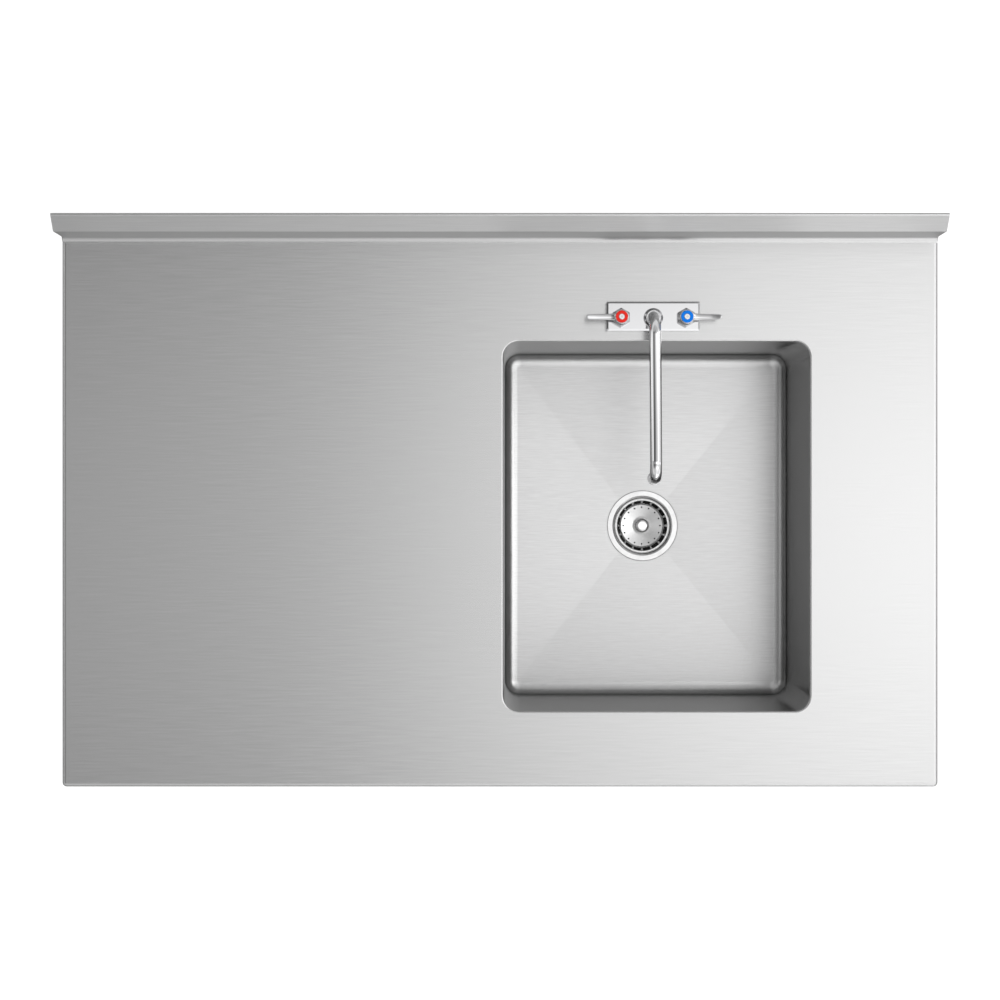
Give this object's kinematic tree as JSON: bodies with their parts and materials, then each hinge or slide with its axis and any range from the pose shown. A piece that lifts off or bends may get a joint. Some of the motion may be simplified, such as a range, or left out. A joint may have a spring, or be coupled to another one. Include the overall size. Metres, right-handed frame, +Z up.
{
  "type": "sink table",
  "caption": "Steel work table with a wall splash, a deep bowl on the right with a lift-out basket drain, a two-lever deck faucet with a swing spout and an undershelf.",
  "frame": {"origin": "on the floor, under the middle of the table's outline", "axes": "+X along the table to the right seen from the front, +Y to the wall, +Z up"},
  "size_m": [1.2192, 0.7886, 1.0033],
  "materials": {
    "brushed_top": "fine brushed grain along the table",
    "brushed_bowl": "fine brushed grain, satin",
    "formed_steel": "mill finish",
    "leg_steel": "brushed round the tube",
    "shelf_steel": "brushed grain along the shelf",
    "cast_alloy": "cast and tumbled",
    "screw_steel": "turned",
    "foot_steel": "satin",
    "polished_steel": "polished",
    "rubber": "matt black",
    "fibre": "pressed fibre",
    "chrome": "bright chrome plate",
    "screen_steel": "perforated",
    "red_ring": "gloss red",
    "blue_ring": "gloss blue",
    "brass": "machined",
    "ceramic": "ground ceramic"
  },
  "bodies": {
    "table": {"channel_front": "formed_steel", "channel_left": "formed_steel", "channel_middle": "formed_steel", "channel_rear": "formed_steel", "channel_right": "formed_steel", "cold_bonnet": "chrome", "cold_cartridge": "ceramic", "cold_shank": "brass", "drain_friction_ring": "fibre", "drain_gasket": "rubber", "drain_locknut": "cast_alloy", "faucet_body": "chrome", "faucet_gasket": "rubber", "foot_inserts": "foot_steel", "hot_bonnet": "chrome", "hot_cartridge": "ceramic", "hot_shank": "brass", "leg_front_left": "leg_steel", "leg_front_right": "leg_steel", "leg_rear_left": "leg_steel", "leg_rear_right": "leg_steel", "leg_sockets": "cast_alloy", "shank_locknuts": "brass", "shank_washers": "screw_steel", "sink_bowl": "brushed_bowl", "socket_set_screws": "screw_steel", "splash_end_left": "brushed_top", "splash_end_right": "brushed_top", "spout_nut": "chrome", "strainer_body": "polished_steel", "tailpiece": "chrome", "tailpiece_nut": "chrome", "tailpiece_washer": "rubber", "worktop": "brushed_top"},
    "hot_handle": {"hot_lever": "chrome", "hot_stem": "brass", "hot_index": "red_ring", "hot_screw": "chrome"},
    "cold_handle": {"cold_lever": "chrome", "cold_stem": "brass", "cold_index": "blue_ring", "cold_screw": "chrome"},
    "spout": {"spout_tube": "chrome", "spout_o_ring": "rubber", "aerator_shell": "chrome", "aerator_screen": "screen_steel"},
    "basket": {"basket_cup": "polished_steel", "basket_knob": "polished_steel", "basket_post": "polished_steel", "basket_stopper": "rubber"},
    "shelf": {"undershelf": "shelf_steel", "shelf_clamps": "cast_alloy", "clamp_set_screws": "screw_steel", "shelf_bolts": "screw_steel"},
    "foot_front_left": {"foot_front_left": "foot_steel"},
    "foot_front_right": {"foot_front_right": "foot_steel"},
    "foot_rear_left": {"foot_rear_left": "foot_steel"},
    "foot_rear_right": {"foot_rear_right": "foot_steel"}
  },
  "joints": [
    {"name": "hot_turn", "type": "hinge", "parent": "table", "child": "hot_handle", "pos_m": [0.16715, 0.2568, 0.94], "axis": [0, 0, 1], "range_deg": [0, 90]},
    {"name": "cold_turn", "type": "hinge", "parent": "table", "child": "cold_handle", "pos_m": [0.25685, 0.2568, 0.94], "axis": [0, 0, 1], "range_deg": [-90, 0]},
    {"name": "spout_swing", "type": "hinge", "parent": "table", "child": "spout", "pos_m": [0.212, 0.2568, 0.92], "axis": [0, 0, 1], "range_deg": [-115, 115]},
    {"name": "basket_lift", "type": "slide", "parent": "table", "child": "basket", "axis": [0, 0, 1], "range_m": [0, 0.35]},
    {"name": "shelf_height", "type": "slide", "parent": "table", "child": "shelf", "axis": [0, 0, 1], "range_m": [-0.1, 0.15]},
    {"name": "foot_front_left_screw", "type": "slide", "parent": "table", "child": "foot_front_left", "axis": [0, 0, -1], "range_m": [0, 0.025]},
    {"name": "foot_front_right_screw", "type": "slide", "parent": "table", "child": "foot_front_right", "axis": [0, 0, -1], "range_m": [0, 0.025]},
    {"name": "foot_rear_left_screw", "type": "slide", "parent": "table", "child": "foot_rear_left", "axis": [0, 0, -1], "range_m": [0, 0.025]},
    {"name": "foot_rear_right_screw", "type": "slide", "parent": "table", "child": "foot_rear_right", "axis": [0, 0, -1], "range_m": [0, 0.025]}
  ]
}
